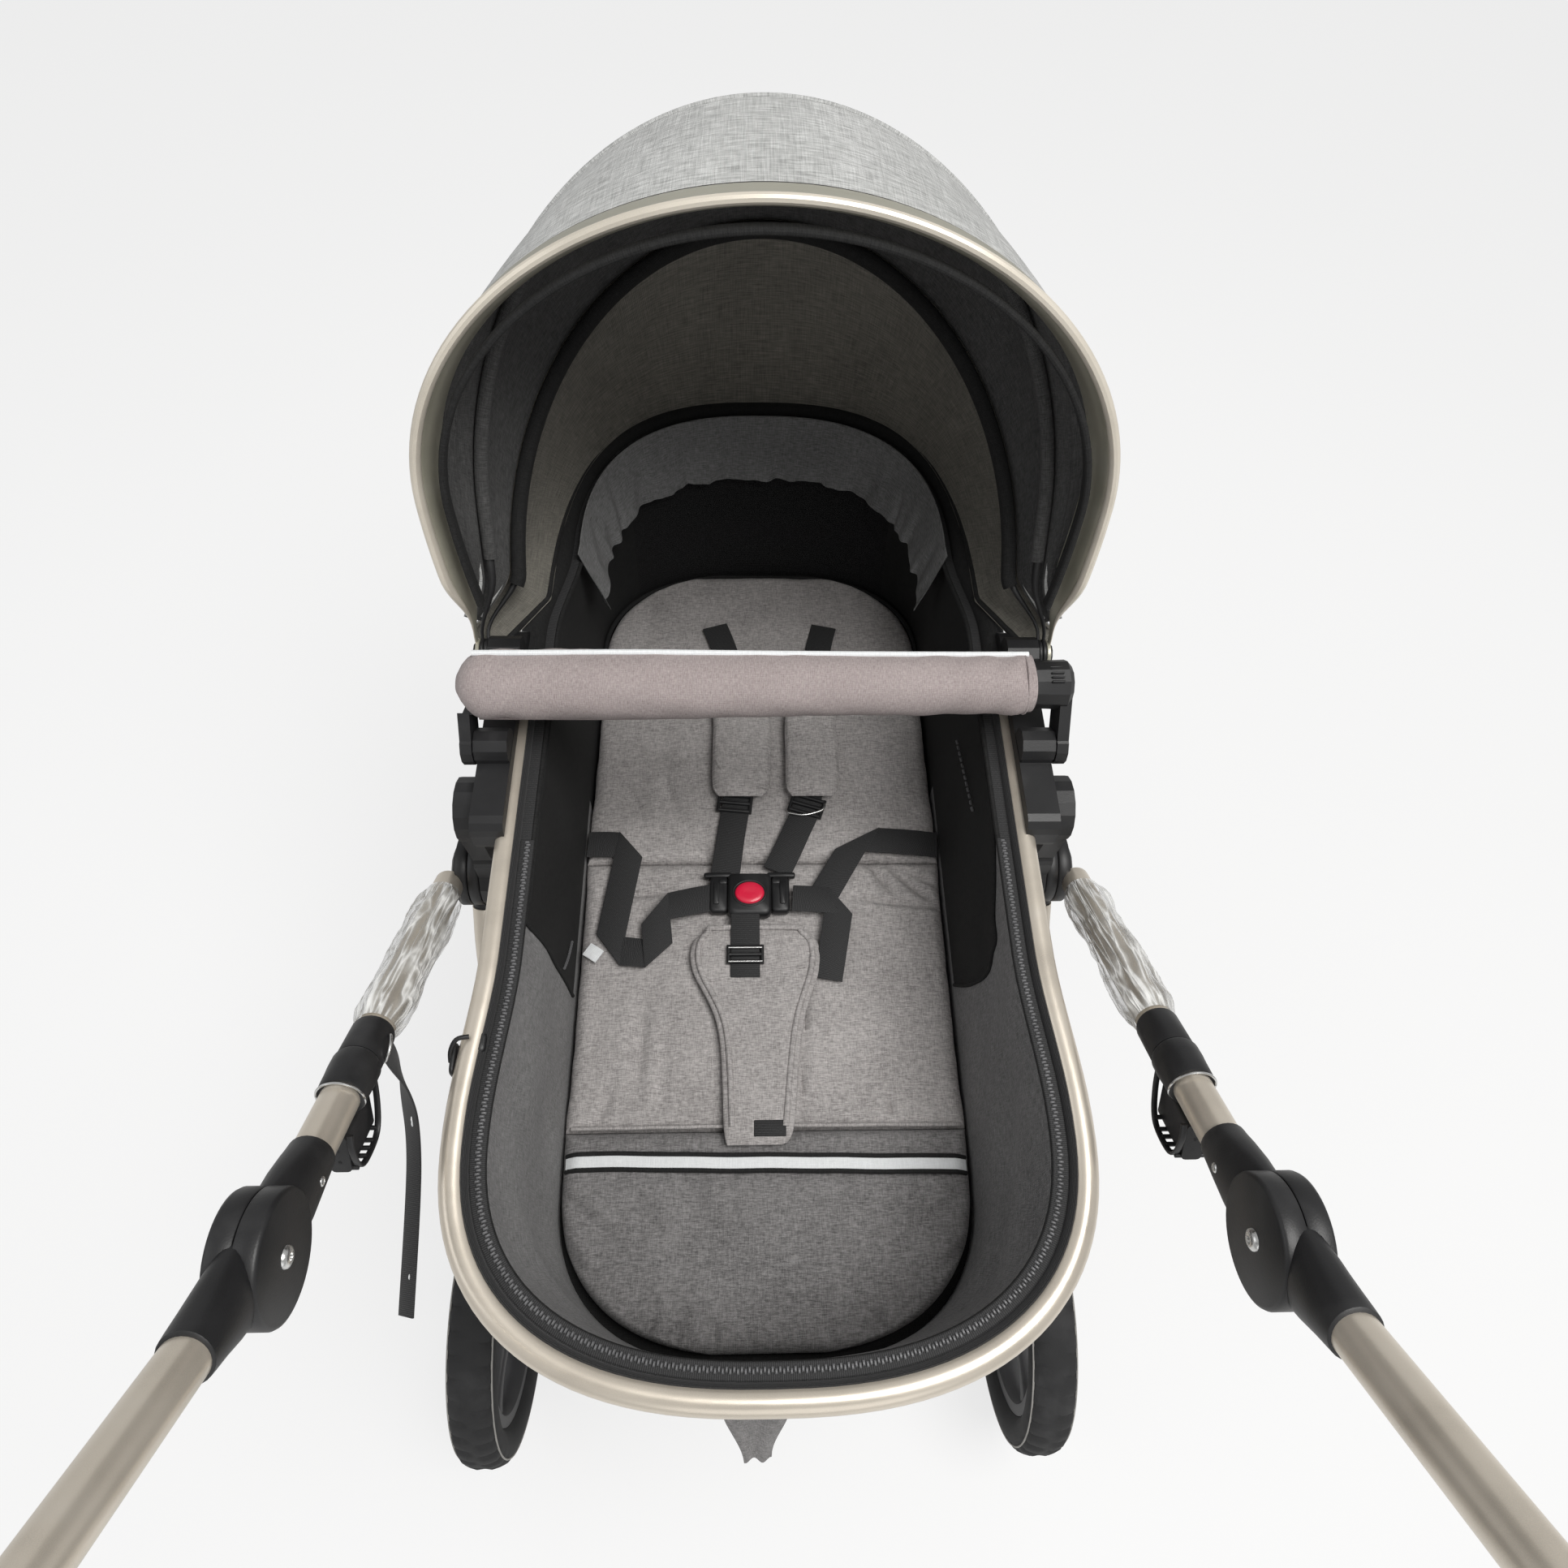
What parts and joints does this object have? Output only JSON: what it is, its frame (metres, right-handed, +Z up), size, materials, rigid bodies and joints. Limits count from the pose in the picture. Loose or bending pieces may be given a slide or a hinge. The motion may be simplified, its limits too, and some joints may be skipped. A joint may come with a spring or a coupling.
{
  "type": "convertible pram",
  "caption": "Folding pram with a flat-laid cot seat, arched hood, harness, bumper bar, turning handle, spoked wheels, castors and an under-seat basket.",
  "frame": {"origin": "middle of the footprint, on the floor under the wheels", "axes": "+Z up; +Y towards the hood, the child's head and the castors; -Y towards the parent's handle; +X to the right of somebody at the handle"},
  "size_m": [0.596, 1.0126, 1.045],
  "materials": {
    "champagne_tube": "satin",
    "champagne_trim": "satin",
    "black_plastic": "satin",
    "grip_leather": "satin",
    "tyre_rubber": "matte",
    "rim_plastic": "matte",
    "grey_melange": "matte",
    "dark_lining": "matte",
    "black_webbing": "matte",
    "clear_film": "gloss",
    "red_button": "gloss"
  },
  "bodies": {
    "chassis": {"front_leg_frame": "champagne_tube", "hub_plate_left": "black_plastic", "hub_plate_right": "black_plastic", "basket": "dark_lining"},
    "rear_frame": {"rear_leg_frame": "champagne_tube"},
    "brake": {"brake_pedal": "black_plastic"},
    "handle": {"push_tube_left": "champagne_tube", "push_tube_right": "champagne_tube", "film_wrap_left": "clear_film", "film_wrap_right": "clear_film", "wrist_strap": "black_webbing"},
    "handle_top": {"handlebar": "champagne_tube", "handle_grip": "grip_leather"},
    "seat_mount": {"seat_adapter_left": "black_plastic", "seat_adapter_right": "black_plastic"},
    "seat": {"seat_rim": "champagne_tube", "bassinet": "grey_melange", "zip_tape": "black_webbing", "zip_pull": "black_plastic", "seat_housing_left": "black_plastic", "seat_housing_right": "black_plastic", "seat_cushion": "grey_melange", "foot_pad": "grey_melange", "crotch_pad": "grey_melange", "crotch_strap": "black_webbing", "buckle": "black_plastic", "lap_strap_left": "black_webbing", "lap_strap_right": "black_webbing"},
    "backrest": {"back_cushion": "grey_melange", "backrest_board": "black_plastic", "shoulder_pad_left": "grey_melange", "shoulder_pad_right": "grey_melange", "shoulder_strap_left": "black_webbing", "shoulder_strap_right": "black_webbing"},
    "red_press": {"buckle_button": "red_button"},
    "bumper": {"bumper_bar": "grey_melange", "bumper_knob_left": "black_plastic", "bumper_knob_right": "black_plastic"},
    "hood_rear": {"hood_rear_hoop": "black_plastic", "canopy_rear": "grey_melange"},
    "hood_middle": {"hood_middle_hoop": "black_plastic", "canopy_middle": "grey_melange"},
    "hood_front": {"hood_front_hoop": "champagne_trim", "canopy_front": "grey_melange"},
    "rear_wheel_left": {"rear_tyre_left": "tyre_rubber", "rear_rim_left": "rim_plastic"},
    "castor_left": {"castor_fork_left": "black_plastic"},
    "front_wheel_left": {"front_tyre_left": "tyre_rubber", "front_rim_left": "rim_plastic"},
    "lock_left": {"swivel_lock_left": "black_plastic"},
    "release_left": {"fold_slider_left": "black_plastic"},
    "clutch_button_left": {"angle_button_left": "black_plastic"},
    "rear_wheel_right": {"rear_tyre_right": "tyre_rubber", "rear_rim_right": "rim_plastic"},
    "castor_right": {"castor_fork_right": "black_plastic"},
    "front_wheel_right": {"front_tyre_right": "tyre_rubber", "front_rim_right": "rim_plastic"},
    "lock_right": {"swivel_lock_right": "black_plastic"},
    "release_right": {"fold_slider_right": "black_plastic"},
    "clutch_button_right": {"angle_button_right": "black_plastic"}
  },
  "joints": [
    {"name": "handle_fold", "type": "hinge", "parent": "chassis", "child": "handle", "pos_m": [0, 0.04427, 0.555], "axis": [-1, 0, 0], "range_deg": [0, 150], "deforming": ["wrist_strap"]},
    {"name": "rear_leg_fold", "type": "hinge", "parent": "chassis", "child": "rear_frame", "pos_m": [0, 0.04427, 0.555], "axis": [1, 0, 0], "range_deg": [0, 30]},
    {"name": "handlebar_angle", "type": "hinge", "parent": "handle", "child": "handle_top", "pos_m": [0, -0.29815, 0.78946], "axis": [-1, 0, 0], "range_deg": [-40, 35]},
    {"name": "brake_press", "type": "hinge", "parent": "rear_frame", "child": "brake", "pos_m": [0, -0.26823, 0.145], "axis": [1, 0, 0], "range_deg": [0, 25]},
    {"name": "seat_lift_off", "type": "slide", "parent": "chassis", "child": "seat_mount", "axis": [0, 0, 1], "range_m": [0, 0.07]},
    {"name": "seat_tilt", "type": "hinge", "parent": "seat_mount", "child": "seat", "pos_m": [0, 0.04427, 0.66], "axis": [1, 0, 0], "range_deg": [0, 20]},
    {"name": "backrest_lift", "type": "hinge", "parent": "seat", "child": "backrest", "pos_m": [0, 0.08127, 0.5], "axis": [1, 0, 0], "range_deg": [0, 50], "deforming": ["shoulder_strap_left", "shoulder_strap_right"]},
    {"name": "bumper_swing", "type": "hinge", "parent": "seat", "child": "bumper", "pos_m": [0, 0.07827, 0.7], "axis": [1, 0, 0], "range_deg": [0, 70]},
    {"name": "hood_rear_fold", "type": "hinge", "parent": "seat", "child": "hood_rear", "pos_m": [0, 0.16927, 0.7], "axis": [-1, 0, 0], "range_deg": [0, 30], "deforming": ["canopy_rear"]},
    {"name": "hood_middle_fold", "type": "hinge", "parent": "hood_rear", "child": "hood_middle", "pos_m": [0, 0.16927, 0.7], "axis": [-1, 0, 0], "range_deg": [0, 12], "deforming": ["canopy_middle"]},
    {"name": "hood_front_fold", "type": "hinge", "parent": "hood_middle", "child": "hood_front", "pos_m": [0, 0.16927, 0.7], "axis": [-1, 0, 0], "range_deg": [0, 4], "deforming": ["canopy_front"]},
    {"name": "buckle_press", "type": "slide", "parent": "seat", "child": "red_press", "axis": [0, 0, -1], "range_m": [0, 0.003], "stiffness_N_per_m": 500},
    {"name": "rear_wheel_spin_left", "type": "hinge", "parent": "rear_frame", "child": "rear_wheel_left", "pos_m": [-0.275, -0.26823, 0.145], "axis": [1, 0, 0], "continuous": true},
    {"name": "castor_swivel_left", "type": "hinge", "parent": "chassis", "child": "castor_left", "pos_m": [-0.2, 0.42427, 0.226], "axis": [0, 0, 1], "continuous": true},
    {"name": "front_wheel_spin_left", "type": "hinge", "parent": "castor_left", "child": "front_wheel_left", "pos_m": [-0.2, 0.38927, 0.1], "axis": [1, 0, 0], "continuous": true},
    {"name": "swivel_lock_left", "type": "hinge", "parent": "chassis", "child": "lock_left", "pos_m": [-0.2, 0.44467, 0.268], "axis": [1, 0, 0], "range_deg": [0, 30]},
    {"name": "fold_release_left", "type": "slide", "parent": "handle", "child": "release_left", "axis": [0, -0.8251, 0.565], "range_m": [0, 0.02], "stiffness_N_per_m": 250},
    {"name": "angle_press_left", "type": "slide", "parent": "handle_top", "child": "clutch_button_left", "axis": [1, 0, 0], "range_m": [0, 0.003], "stiffness_N_per_m": 500},
    {"name": "rear_wheel_spin_right", "type": "hinge", "parent": "rear_frame", "child": "rear_wheel_right", "pos_m": [0.275, -0.26823, 0.145], "axis": [1, 0, 0], "continuous": true},
    {"name": "castor_swivel_right", "type": "hinge", "parent": "chassis", "child": "castor_right", "pos_m": [0.2, 0.42427, 0.226], "axis": [0, 0, 1], "continuous": true},
    {"name": "front_wheel_spin_right", "type": "hinge", "parent": "castor_right", "child": "front_wheel_right", "pos_m": [0.2, 0.38927, 0.1], "axis": [1, 0, 0], "continuous": true},
    {"name": "swivel_lock_right", "type": "hinge", "parent": "chassis", "child": "lock_right", "pos_m": [0.2, 0.44467, 0.268], "axis": [1, 0, 0], "range_deg": [0, 30]},
    {"name": "fold_release_right", "type": "slide", "parent": "handle", "child": "release_right", "axis": [0, -0.8251, 0.565], "range_m": [0, 0.02], "stiffness_N_per_m": 250},
    {"name": "angle_press_right", "type": "slide", "parent": "handle_top", "child": "clutch_button_right", "axis": [-1, 0, 0], "range_m": [0, 0.003], "stiffness_N_per_m": 500}
  ],
  "couplings": [
    {"joint": "rear_leg_fold", "follows": "handle_fold", "ratio": 0.2},
    {"joint": "hood_middle_fold", "follows": "hood_rear_fold", "ratio": 0.3667},
    {"joint": "hood_front_fold", "follows": "hood_rear_fold", "ratio": 0.1}
  ]
}
